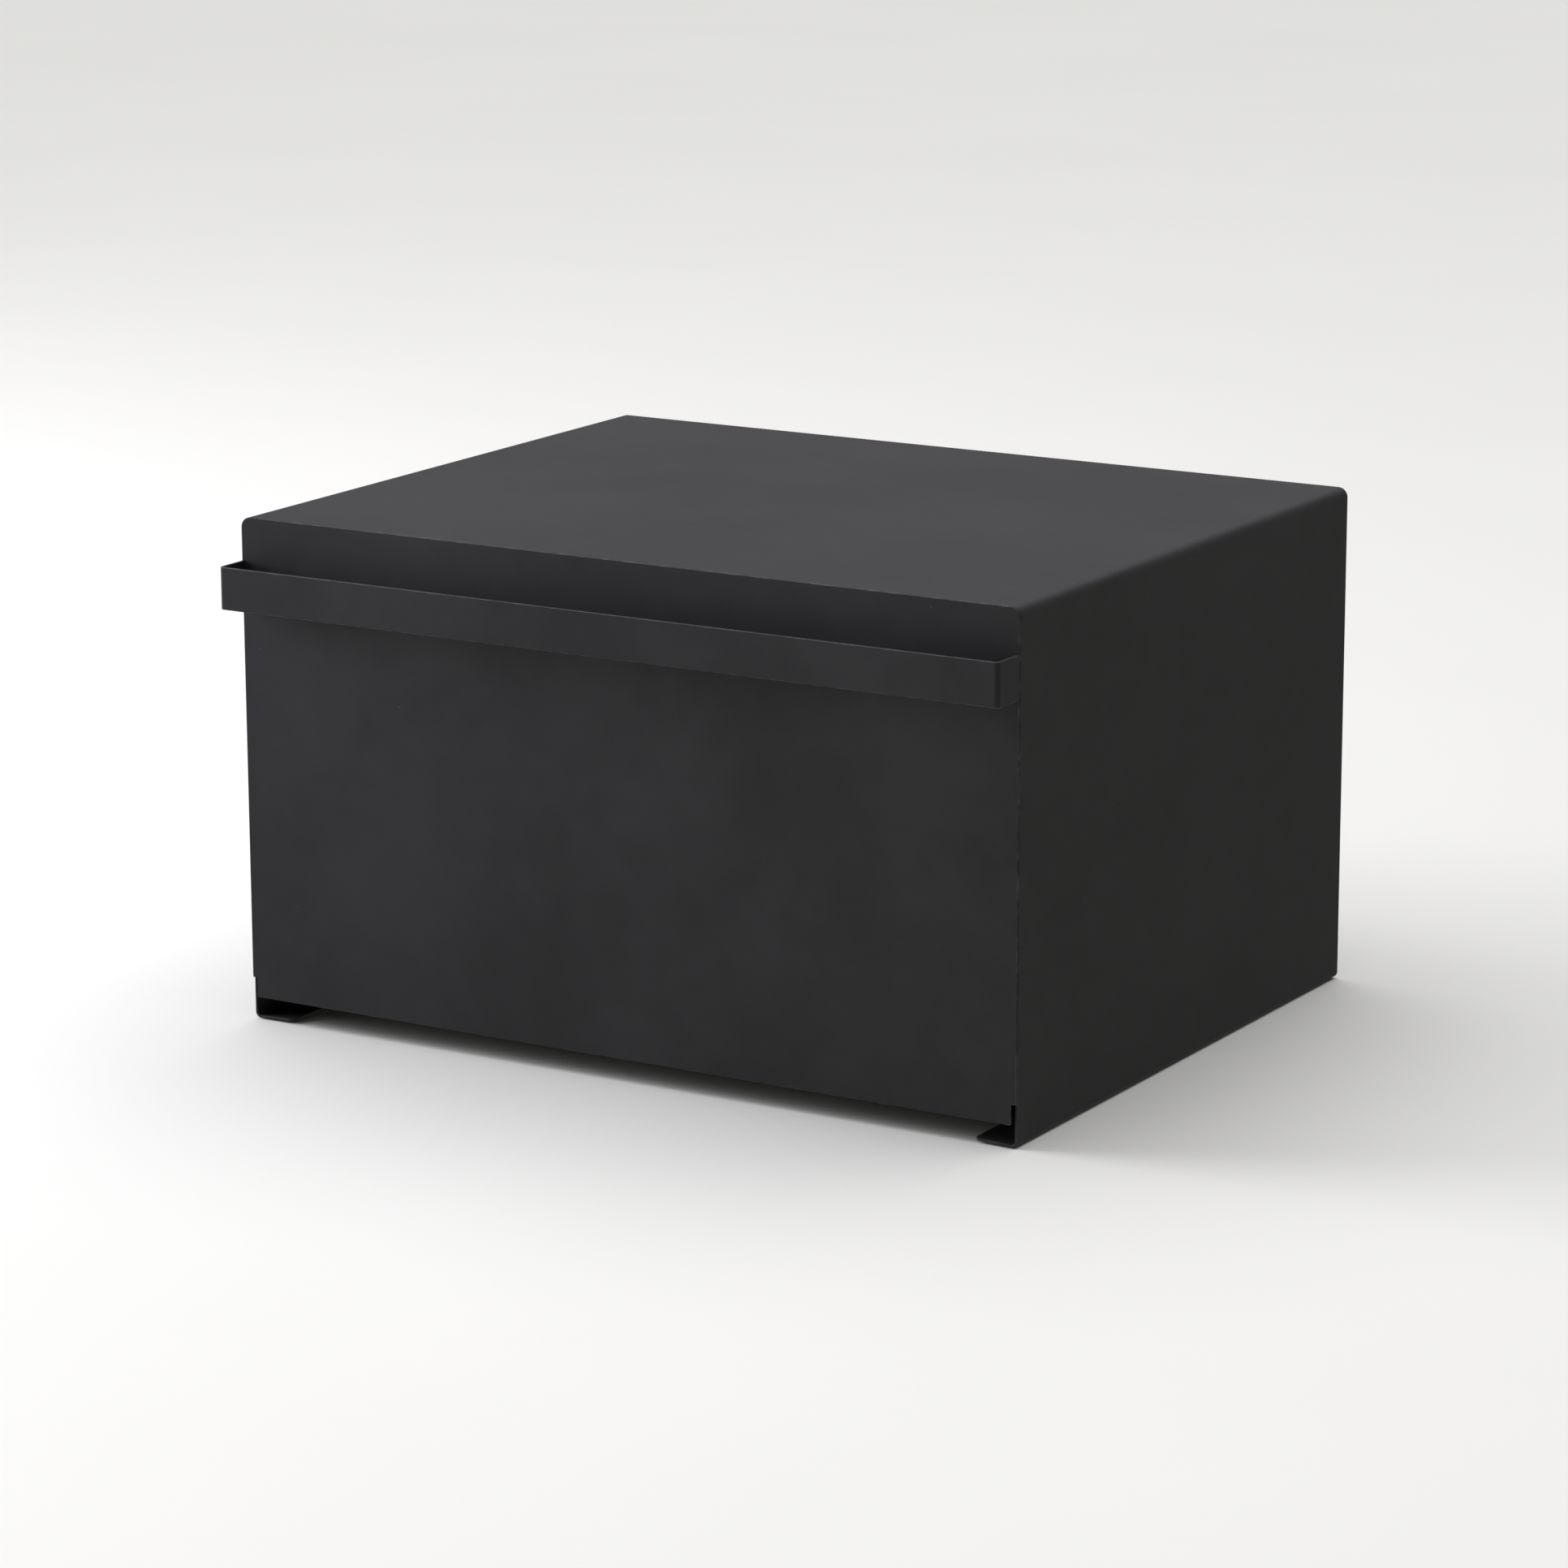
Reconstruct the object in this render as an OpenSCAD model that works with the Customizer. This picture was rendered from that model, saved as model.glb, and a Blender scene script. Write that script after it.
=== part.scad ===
// Flap-front storage box: a folded sheet-steel case on two inward foot flanges, closed by a
// full-width steel door that drops forward on two pivots near its bottom edge. A flat strip, bent
// to a wide U, runs across the door as its handle and carries the door when it lies open.
// The origin is on the worktop, under the middle of the outline. +X is right, +Y is to the back
// and +Z is up. The door is at the front, drawn closed.

/* [Case] */
// Width over the side walls
box_w = 430; // [320:5:600]
// Depth from the door's outer face to the back
box_d = 340; // [220:5:450]
// Height from the worktop to the top
box_h = 253; // [180:1:400]
// Thickness of the sheet steel
sheet_t = 1.2; // [1:0.1:1.5]
// Outer radius of the long bends between the top and the sides
top_bend_r = 5; // [3:0.5:8]

/* [Feet] */
// Width of each foot flange, from the outside of the wall
foot_w = 22.5; // [18:0.5:34]
// Outer radius of the bend between a side and its foot flange
foot_bend_r = 3; // [2:0.5:4]
// Angle by which the flange rises towards its free edge
foot_rise = 2; // [0.5:0.5:3]
// Height that the pads lift the case off the worktop
pad_lift = 0.5; // [0.5:0.1:1.5]
// Radius of each anti-slip pad
pad_r = 7; // [5:0.5:7]
// Distance of the pads from the case's front and back edges
pad_inset = 30; // [20:5:60]

/* [Door] */
// Height of the door's bottom edge
door_z = 11.5; // [11:0.5:15]
// Air gap between the closed door and the case's front edges
door_gap = 0.3; // [0.2:0.1:0.6]
// Width of the relief cut at each lower corner, which lets the bottom edge swing between the walls
relief_w = 2.6; // [1.5:0.1:3]
// Distance of the pivot behind the door's inner face and above its bottom edge
pivot_in = 5; // [5:0.5:6.5]

/* [Handle] */
// How far the handle stands out from the door
handle_out = 19; // [16:0.5:30]
// Height of the handle strip
handle_h = 21; // [12:1:32]
// Distance from the top of the box down to the strip
handle_drop = 21.5; // [10:0.5:60]
// Thickness of the strip
handle_t = 1.5; // [1:0.1:2]
// Outer radius of the strip's two bends
handle_bend_r = 2.4; // [2.2:0.2:6]

/* [Pivots] */
// Radius of the pivot pin
pin_r = 2; // [1.8:0.1:2.2]
// Running clearance between the pin and its bush
pin_play = 0.05; // [0.02:0.01:0.1]
// Wall of the nylon bush
bush_wall = 0.9; // [0.8:0.1:1]
// Thickness of the hinge ears and brackets
hinge_t = 1.5; // [1.2:0.1:1.8]
// Height of the ear up the door, above the pivot
ear_h = 26; // [20:1:40]

/* [Catches] */
// Distance of each magnetic catch from the middle
catch_x = 120; // [60:5:130]
// Depth of the rail's front leg below the top
rail_h = 16; // [16:0.5:24]
// Distance between the closed door and the rail
rail_gap = 1.6; // [1.5:0.1:2]

/* [Hidden] */
$fn = 96;

coat = [0.17, 0.17, 0.18];
zinc = [0.72, 0.72, 0.70];
ferrite = [0.25, 0.24, 0.24];
black_plastic = [0.10, 0.10, 0.10];
nylon = [0.88, 0.86, 0.80];
silicone = [0.30, 0.30, 0.30];

// Planes that everything is measured from
back_y = (box_d + handle_out) / 2;
front_y = back_y - box_d;
door_in_y = front_y + sheet_t;
case_y = door_in_y + door_gap;
wall_x = box_w / 2 - sheet_t;
under_top = box_h - sheet_t;

// Radius of the small free corners of the sheets
corner_r = 1;
// How far every cutter runs past the faces that it opens
over = 1;
// Clearance of a pressed or screwed fit, and of faces that slide past each other
press_gap = 0.01;
slide_gap = 0.1;

// Pivot axis, with the noses of the ears and brackets kept inside the door's turning circle
pivot_y = door_in_y + pivot_in;
pivot_z = door_z + pivot_in;
nose_gap = 0.5;
nose_r = pivot_in - nose_gap;
relief_h = 2 * pivot_in;

// Layers of each pivot, as distances inwards from the wall's inner face
pin_head_t = 1.2;
bush_flange_t = 0.8;
bush_end = 0.2;
clip_t = 0.6;
pin_tail = 1;
head_d = 0.8;
flange_d = head_d + pin_head_t + slide_gap;
ear_d = flange_d + bush_flange_t;
bracket_d = ear_d + hinge_t + bush_end + 2 * slide_gap;
clip_d = bracket_d + hinge_t + slide_gap;
pin_end_d = clip_d + clip_t + pin_tail;
groove_r = pin_r - 0.5;
bush_r = pin_r + pin_play + bush_wall;

// Floor panel
floor_rise = 1;
floor_top = pivot_z + floor_rise;
floor_y = pivot_y - nose_r + slide_gap;
flange_h = 8;
fold_r = 2;
hem_d = 8;
corner_cut_w = 9.2;
corner_cut_y = pivot_y + nose_r + 1.5;

// Hinge brackets and their screws, which are M3
arm_l = 34;
bracket_foot_w = 18;
bracket_foot_y = 8;
bracket_screw_y = [14, 28];
screw_r = 1.48;
screw_hole_r = 1.6;
screw_head_r = 2.7;
socket_r = 1.15;
bracket_head_h = 1.6;
bracket_socket_d = 0.9;

// Front rail and catches
rail_y = door_in_y + rail_gap;
rail_d = 16;
rail_inset = 6;
rail_half = wall_x - rail_inset;
housing_w = 38;
housing_h = 12;
housing_d = 12;
housing_drop = 1;
catch_z = box_h - 2 * sheet_t - housing_drop - housing_h / 2;
pocket_d = 8;
pocket_gap = 0.2;
magnet_w = 16;
magnet_h = 4;
magnet_back_y = rail_y + sheet_t + pocket_d;
pole_t = 1.2;
pole_gap = 0.4;
window_w = 18;
window_h = 9;
catch_screw_x = 14;
catch_head_h = 1.1;
catch_socket_d = 0.6;
catch_screw_l = 9;
bumper_r = 4;
bumper_t = 1.4;
bumper_inset = 10;

// Moves the right-hand version of a piece to the side that is asked for: -1 is left, 1 is right
module on_side(side) {
    if (side > 0) children();
    else mirror([1, 0, 0]) children();
}

// Cross-section of a bend in a sheet: a ring sector about the bend's centre
module bend(r, t, from, sweep) {
    intersection() {
        difference() {
            circle(r);
            circle(r - t);
        }
        polygon(concat([[0, 0]], [for (i = [0 : 2])
            2 * r * [cos(from + i * sweep / 2), sin(from + i * sweep / 2)]]));
    }
}

// Cutter that rounds the outside of a fold: the waste between a square corner and its radius
module fold_cutter(r, l) {
    linear_extrude(l) difference() {
        square(r + over);
        circle(r);
    }
}

// Flat outline standing on y = 0, with one radius for its top corners and one for its bottom ones
module rounded_plate(w, h, top_r, bottom_r) {
    translate([-w / 2, bottom_r]) square([w, h - top_r - bottom_r]);
    translate([-w / 2 + top_r, h / 2]) square([w - 2 * top_r, h / 2]);
    translate([-w / 2 + bottom_r, 0]) square([w - 2 * bottom_r, h / 2]);
    for (s = [-1, 1]) {
        translate([s * (w / 2 - top_r), h - top_r]) circle(top_r);
        translate([s * (w / 2 - bottom_r), bottom_r]) circle(bottom_r);
    }
}

// Extrudes a front view towards -Y from the plane y
module front_view(y, l) {
    translate([0, y, 0]) rotate([90, 0, 0]) linear_extrude(l) children();
}

// Extrudes a side view about the right-hand pivot, between two distances inwards from the wall
module pivot_layer(d_outer, d_inner) {
    translate([wall_x - d_inner, pivot_y, pivot_z]) rotate([90, 0, 90])
        linear_extrude(d_inner - d_outer) children();
}

// ---------------------------------------------------------------- case

// Front view of the right half of the folded case
module case_half() {
    side_z = pad_lift + foot_bend_r;
    flange_l = foot_w - foot_bend_r;
    translate([0, under_top]) square([box_w / 2 - top_bend_r, sheet_t]);
    translate([box_w / 2 - top_bend_r, box_h - top_bend_r]) bend(top_bend_r, sheet_t, 0, 90);
    translate([wall_x, side_z]) square([sheet_t, box_h - top_bend_r - side_z]);
    translate([box_w / 2 - foot_bend_r, side_z]) {
        bend(foot_bend_r, sheet_t, -90 - foot_rise, 90 + foot_rise);
        rotate(-foot_rise) translate([-flange_l, -foot_bend_r]) square([flange_l, sheet_t]);
    }
}

// Top, both sides and both foot flanges, folded from one sheet, with round free corners
module case_shell() {
    tip_r = 3;
    tip_x = box_w / 2 - foot_w;
    tip_cut_h = 5;
    color(coat) difference() {
        front_view(back_y, back_y - case_y) {
            case_half();
            mirror([1, 0]) case_half();
        }
        for (s = [-1, 1]) on_side(s) {
            translate([tip_x + tip_r, case_y + tip_r, 0])
                rotate(180) fold_cutter(tip_r, tip_cut_h);
            translate([tip_x + tip_r, back_y - tip_r, 0])
                rotate(90) fold_cutter(tip_r, tip_cut_h);
        }
    }
}

// Back sheet, with flanges turned forward along the sides and the top for the spot welds
module back_panel() {
    weld_flange = 12;
    panel_w = 2 * wall_x;
    flange_y = back_y - weld_flange;
    side_z = floor_top + fold_r;
    side_l = under_top - weld_flange - side_z;
    top_half = wall_x - weld_flange;
    color(coat) difference() {
        union() {
            translate([0, 0, door_z]) front_view(back_y, sheet_t)
                rounded_plate(panel_w, under_top - door_z, top_bend_r - sheet_t, corner_r);
            for (s = [-1, 1]) on_side(s)
                translate([wall_x - sheet_t, flange_y, side_z])
                    cube([sheet_t, back_y - flange_y, side_l]);
            translate([-top_half, flange_y, under_top - sheet_t])
                cube([2 * top_half, back_y - flange_y, sheet_t]);
        }
        for (s = [-1, 1]) on_side(s)
            translate([wall_x - fold_r, back_y - fold_r, side_z]) fold_cutter(fold_r, side_l);
        translate([-top_half, back_y - fold_r, under_top - fold_r])
            rotate([90, 0, 90]) fold_cutter(fold_r, 2 * top_half);
    }
}

// Floor tray, with flanges turned down at the sides and back, a hemmed front edge and cut-out
// front corners that leave room for the pivots
module floor_panel() {
    rear_y = back_y - sheet_t;
    hem_half = wall_x - corner_cut_w;
    color(coat) difference() {
        union() {
            translate([-wall_x, floor_y + sheet_t, floor_top - sheet_t])
                cube([2 * wall_x, rear_y - floor_y - sheet_t, sheet_t]);
            translate([-hem_half, floor_y + sheet_t, floor_top - sheet_t])
                rotate([90, 0, 90]) cylinder(h = 2 * hem_half, r = sheet_t);
            translate([-hem_half, floor_y + sheet_t, floor_top - 2 * sheet_t])
                cube([2 * hem_half, hem_d - sheet_t, sheet_t]);
            for (s = [-1, 1]) on_side(s)
                translate([wall_x - sheet_t, corner_cut_y, floor_top - flange_h])
                    cube([sheet_t, rear_y - corner_cut_y, flange_h]);
            translate([-wall_x, rear_y - sheet_t, door_z])
                cube([2 * wall_x, sheet_t, floor_top - door_z]);
        }
        for (s = [-1, 1]) on_side(s) {
            translate([wall_x - corner_cut_w, floor_y - over, floor_top - flange_h])
                cube([corner_cut_w + over, corner_cut_y - floor_y + over, flange_h + over]);
            translate([wall_x - fold_r, rear_y, floor_top - fold_r])
                rotate([90, 0, 0]) fold_cutter(fold_r, rear_y - corner_cut_y);
            for (y = bracket_screw_y)
                translate([bracket_screw_x(), pivot_y + y, floor_top - 2 * sheet_t])
                    cylinder(h = 3 * sheet_t, r = screw_r + press_gap);
        }
        translate([-wall_x, rear_y - fold_r, floor_top - fold_r])
            rotate([90, 0, 90]) fold_cutter(fold_r, 2 * wall_x);
    }
}

// Angle that stiffens the top's front edge, with a window and two screw holes for each catch
module front_rail() {
    color(coat) difference() {
        union() {
            translate([-rail_half, rail_y, under_top - rail_h])
                cube([2 * rail_half, sheet_t, rail_h]);
            translate([-rail_half, rail_y, under_top - sheet_t])
                cube([2 * rail_half, rail_d, sheet_t]);
        }
        translate([-rail_half, rail_y + fold_r, under_top - fold_r])
            rotate([90, 0, 90]) rotate(90) fold_cutter(fold_r, 2 * rail_half);
        for (s = [-1, 1]) translate([s * catch_x, rail_y, catch_z]) {
            translate([-window_w / 2, -over, -window_h / 2])
                cube([window_w, sheet_t + 2 * over, window_h]);
            for (t = [-1, 1]) translate([t * catch_screw_x, sheet_t + over, 0])
                rotate([90, 0, 0]) cylinder(h = sheet_t + 2 * over, r = screw_hole_r);
        }
    }
}

// ---------------------------------------------------------------- pivots

function bracket_screw_x() = wall_x - bracket_d - hinge_t - bracket_foot_w / 2;

// Bracket under the floor panel's front corner: a nose that holds the pin, an arm and a foot
module hinge_bracket(side) {
    arm_top = floor_top - sheet_t - pivot_z;
    color(coat) on_side(side) difference() {
        union() {
            pivot_layer(bracket_d, bracket_d + hinge_t) {
                circle(nose_r);
                translate([0, -nose_r]) square([arm_l, nose_r + arm_top]);
            }
            translate([wall_x - bracket_d - hinge_t - bracket_foot_w, pivot_y + bracket_foot_y,
                       floor_top - sheet_t - hinge_t])
                cube([bracket_foot_w + hinge_t, arm_l - bracket_foot_y, hinge_t]);
        }
        pivot_layer(bracket_d - over, bracket_d + hinge_t + over) circle(pin_r + press_gap);
        for (y = bracket_screw_y)
            translate([bracket_screw_x(), pivot_y + y, floor_top - sheet_t - hinge_t - over])
                cylinder(h = hinge_t + 2 * over, r = screw_hole_r);
    }
}

// Screws that go up through the brackets' feet into the floor panel, two a side
module bracket_screws() {
    head_z = floor_top - sheet_t - hinge_t - bracket_head_h;
    color(zinc) for (s = [-1, 1], y = bracket_screw_y)
        on_side(s) translate([bracket_screw_x(), pivot_y + y, head_z]) difference() {
            union() {
                cylinder(h = bracket_head_h, r = screw_head_r);
                cylinder(h = floor_top - head_z, r = screw_r);
            }
            translate([0, 0, -over]) cylinder(h = bracket_socket_d + over, r = socket_r, $fn = 6);
        }
}

// Headed pin that stands in the bracket, with a groove for its clip
module pivot_pin(side) {
    chamfer = 0.3;
    head_r = pin_r + 1.4;
    groove_gap = 0.05;
    color(zinc) on_side(side) difference() {
        union() {
            pivot_layer(head_d, head_d + pin_head_t) circle(head_r);
            pivot_layer(head_d + pin_head_t, pin_end_d - chamfer) circle(pin_r);
            translate([wall_x - pin_end_d, pivot_y, pivot_z]) rotate([90, 0, 90])
                cylinder(h = chamfer, r1 = pin_r - chamfer, r2 = pin_r);
        }
        pivot_layer(clip_d - groove_gap, clip_d + clip_t + groove_gap) difference() {
            circle(pin_r + over);
            circle(groove_r);
        }
    }
}

// Open spring clip that snaps into the pin's groove and keeps the pin in the bracket
module pin_clip(side) {
    mouth_w = 2.2;
    clip_r = pin_r + 1.6;
    color(zinc) on_side(side) pivot_layer(clip_d, clip_d + clip_t) difference() {
        circle(clip_r);
        circle(groove_r + press_gap);
        translate([0, -mouth_w / 2]) square([clip_r + over, mouth_w]);
    }
}

// ---------------------------------------------------------------- catches

// Plastic housing behind the rail, with a pocket for the magnet and pilot holes for its screws
module catch_housing(side) {
    pocket_h = magnet_h + 2 * pole_t + 2 * pocket_gap;
    pocket_w = magnet_w + 2 * pocket_gap;
    color(black_plastic) on_side(side)
    translate([catch_x, rail_y + sheet_t, catch_z]) difference() {
        translate([-housing_w / 2, 0, -housing_h / 2]) cube([housing_w, housing_d, housing_h]);
        translate([-pocket_w / 2, -over, -pocket_h / 2])
            cube([pocket_w, pocket_d + pocket_gap + over, pocket_h]);
        for (t = [-1, 1]) translate([t * catch_screw_x, catch_screw_l, 0])
            rotate([90, 0, 0]) cylinder(h = catch_screw_l + over, r = screw_r + press_gap);
    }
}

// Ferrite bar magnet
module catch_magnet(side) {
    face_y = rail_y + 0.2;
    color(ferrite) on_side(side)
        translate([catch_x - magnet_w / 2, face_y, catch_z - magnet_h / 2])
            cube([magnet_w, magnet_back_y - face_y, magnet_h]);
}

// Two steel plates, above and below the magnet, that carry its pull to the door
module pole_plates(side) {
    tip_y = door_in_y + pole_gap;
    color(zinc) on_side(side) for (z = [magnet_h / 2, -magnet_h / 2 - pole_t])
        translate([catch_x - magnet_w / 2, tip_y, catch_z + z])
            cube([magnet_w, magnet_back_y - tip_y, pole_t]);
}

// Flat-headed screws through the rail into the housings, two a side
module catch_screws() {
    color(zinc) for (s = [-1, 1], t = [-1, 1])
        translate([s * catch_x + t * catch_screw_x, rail_y, catch_z])
            rotate([90, 0, 0]) difference() {
                union() {
                    cylinder(h = catch_head_h, r = screw_head_r);
                    translate([0, 0, -catch_screw_l])
                        cylinder(h = catch_screw_l + catch_head_h / 2, r = screw_r);
                }
                translate([0, 0, catch_head_h - catch_socket_d])
                    cylinder(h = catch_socket_d + over, r = socket_r, $fn = 6);
            }
}

// Soft dot on the rail that the door closes against
module rail_bumper(side) {
    color(silicone) on_side(side)
        translate([rail_half - bumper_inset, rail_y, under_top - rail_h / 2])
            rotate([90, 0, 0]) cylinder(h = bumper_t, r = bumper_r);
}

// ---------------------------------------------------------------- feet

// Anti-slip pad under a foot flange, flat below and following the flange's slope above
module foot_pad(side, y) {
    pad_x = box_w / 2 - foot_bend_r - (foot_w - foot_bend_r) / 2;
    color(silicone) on_side(side) difference() {
        translate([pad_x, y, 0]) cylinder(h = pad_lift + foot_bend_r, r = pad_r);
        translate([box_w / 2 - foot_bend_r, y - 2 * pad_r, pad_lift + foot_bend_r])
            rotate([0, foot_rise, 0]) translate([-2 * foot_w, 0, -foot_bend_r])
                cube([3 * foot_w, 4 * pad_r, 2 * foot_bend_r]);
    }
}

// ---------------------------------------------------------------- door

// Flat door sheet, narrowed below the relief cuts so that its foot swings in between the walls
module door_panel() {
    upper_z = door_z + relief_h;
    color(coat) {
        translate([0, 0, upper_z]) front_view(door_in_y, sheet_t)
            rounded_plate(box_w, box_h - upper_z, top_bend_r, 0);
        translate([0, 0, door_z]) front_view(door_in_y, sheet_t)
            rounded_plate(box_w - 2 * relief_w, relief_h, 0, corner_r);
    }
}

// Flat strip bent to a wide U. Its legs are flush with the door's edges and welded to its face
module handle_bar() {
    bend_x = box_w / 2 - handle_bend_r;
    strip_y = front_y - handle_out;
    leg_l = handle_out - handle_bend_r;
    color(coat) translate([0, 0, box_h - handle_drop - handle_h]) linear_extrude(handle_h) {
        translate([-bend_x, strip_y]) square([2 * bend_x, handle_t]);
        for (s = [0, 1]) mirror([s, 0]) {
            translate([bend_x, strip_y + handle_bend_r]) bend(handle_bend_r, handle_t, -90, 90);
            translate([box_w / 2 - handle_t, front_y - leg_l]) square([handle_t, leg_l]);
        }
    }
}

// Angle welded inside the door: a plate that carries the bush, and a flange flat on the door
module hinge_ear(side) {
    arm_w = 5;
    flange_w = 12;
    flange_z = nose_r + 3;
    color(coat) on_side(side) difference() {
        union() {
            pivot_layer(ear_d, ear_d + hinge_t) {
                circle(nose_r);
                translate([-pivot_in, -nose_r]) square([pivot_in, 2 * nose_r]);
                translate([-pivot_in, 0]) square([arm_w, ear_h]);
            }
            translate([wall_x - ear_d - flange_w, door_in_y, pivot_z + flange_z])
                cube([flange_w, hinge_t, ear_h - flange_z]);
        }
        pivot_layer(ear_d - over, ear_d + hinge_t + over) circle(bush_r + press_gap);
    }
}

// Flanged nylon bush in the ear, which turns on the pin
module hinge_bush(side) {
    bush_flange_r = nose_r - 0.3;
    color(nylon) on_side(side) difference() {
        union() {
            pivot_layer(flange_d, ear_d) circle(bush_flange_r);
            pivot_layer(ear_d, ear_d + hinge_t + bush_end) circle(bush_r);
        }
        pivot_layer(flange_d - over, ear_d + hinge_t + over) circle(pin_r + pin_play);
    }
}

case_shell();
back_panel();
floor_panel();
front_rail();
hinge_bracket(-1);  // hinge_bracket_left
hinge_bracket(1);  // hinge_bracket_right
bracket_screws();
pivot_pin(-1);  // pivot_pin_left
pivot_pin(1);  // pivot_pin_right
pin_clip(-1);  // pin_clip_left
pin_clip(1);  // pin_clip_right
catch_housing(-1);  // catch_housing_left
catch_housing(1);  // catch_housing_right
catch_magnet(-1);  // catch_magnet_left
catch_magnet(1);  // catch_magnet_right
pole_plates(-1);  // pole_plates_left
pole_plates(1);  // pole_plates_right
catch_screws();
rail_bumper(-1);  // rail_bumper_left
rail_bumper(1);  // rail_bumper_right
foot_pad(-1, case_y + pad_inset);  // foot_pad_front_left
foot_pad(1, case_y + pad_inset);  // foot_pad_front_right
foot_pad(-1, back_y - pad_inset);  // foot_pad_rear_left
foot_pad(1, back_y - pad_inset);  // foot_pad_rear_right
door_panel();
handle_bar();
hinge_ear(-1);  // hinge_ear_left
hinge_ear(1);  // hinge_ear_right
hinge_bush(-1);  // hinge_bush_left
hinge_bush(1);  // hinge_bush_right
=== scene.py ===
import math

import bmesh
import bpy
from mathutils import Matrix, Quaternion, Vector


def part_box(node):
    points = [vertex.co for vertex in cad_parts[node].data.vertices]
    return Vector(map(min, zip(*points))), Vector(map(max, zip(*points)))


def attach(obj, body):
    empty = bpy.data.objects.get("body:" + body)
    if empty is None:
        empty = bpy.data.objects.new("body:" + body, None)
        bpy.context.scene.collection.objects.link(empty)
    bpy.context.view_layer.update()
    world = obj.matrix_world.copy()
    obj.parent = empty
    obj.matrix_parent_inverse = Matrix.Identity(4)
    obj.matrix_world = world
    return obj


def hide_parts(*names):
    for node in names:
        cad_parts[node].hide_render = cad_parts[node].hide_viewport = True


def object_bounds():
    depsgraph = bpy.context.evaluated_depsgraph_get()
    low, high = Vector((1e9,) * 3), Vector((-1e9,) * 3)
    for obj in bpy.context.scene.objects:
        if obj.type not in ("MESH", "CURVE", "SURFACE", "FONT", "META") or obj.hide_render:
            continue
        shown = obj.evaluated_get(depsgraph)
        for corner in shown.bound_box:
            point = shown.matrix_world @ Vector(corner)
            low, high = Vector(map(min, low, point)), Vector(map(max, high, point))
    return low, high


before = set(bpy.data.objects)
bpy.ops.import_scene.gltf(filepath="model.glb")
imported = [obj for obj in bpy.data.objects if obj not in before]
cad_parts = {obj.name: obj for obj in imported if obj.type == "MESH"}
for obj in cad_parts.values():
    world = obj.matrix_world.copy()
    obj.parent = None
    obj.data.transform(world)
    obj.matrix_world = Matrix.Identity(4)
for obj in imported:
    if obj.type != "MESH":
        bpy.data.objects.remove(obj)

cad_low, cad_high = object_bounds()


# ---- Case: one sheet of 1.2 mm steel, folded into the top, both sides and the two foot flanges.
# It is cut by laser, folded on a press brake and sprayed with a fine-textured black powder coat,
# so its flats are dead flat, its folds are round and its cut edges are just eased by the coat.

MM = 0.001


class Wire:
    """A socket that a node gives out. Sums on it add Math nodes, and node() adds any other node."""

    def __init__(self, tree, socket):
        self.tree = tree
        self.socket = socket

    def node(self, kind, settings=None, inputs=None, out=0):
        """A wire from a new node, whose inputs are numbers or wires."""
        made = self.tree.nodes.new(kind)
        for name, value in (settings or {}).items():
            setattr(made, name, value)
        for name, value in (inputs or {}).items():
            if isinstance(value, Wire):
                self.tree.links.new(value.socket, made.inputs[name])
            else:
                made.inputs[name].default_value = value
        return Wire(self.tree, made.outputs[out])

    def sum_node(self, operation, first, second):
        return self.node("ShaderNodeMath", {"operation": operation}, {0: first, 1: second})

    def __add__(self, other):
        return self.sum_node("ADD", self, other)

    def __radd__(self, other):
        return self.sum_node("ADD", other, self)

    def __sub__(self, other):
        return self.sum_node("SUBTRACT", self, other)

    def __rsub__(self, other):
        return self.sum_node("SUBTRACT", other, self)

    def __mul__(self, other):
        return self.sum_node("MULTIPLY", self, other)

    def __rmul__(self, other):
        return self.sum_node("MULTIPLY", other, self)


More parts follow.
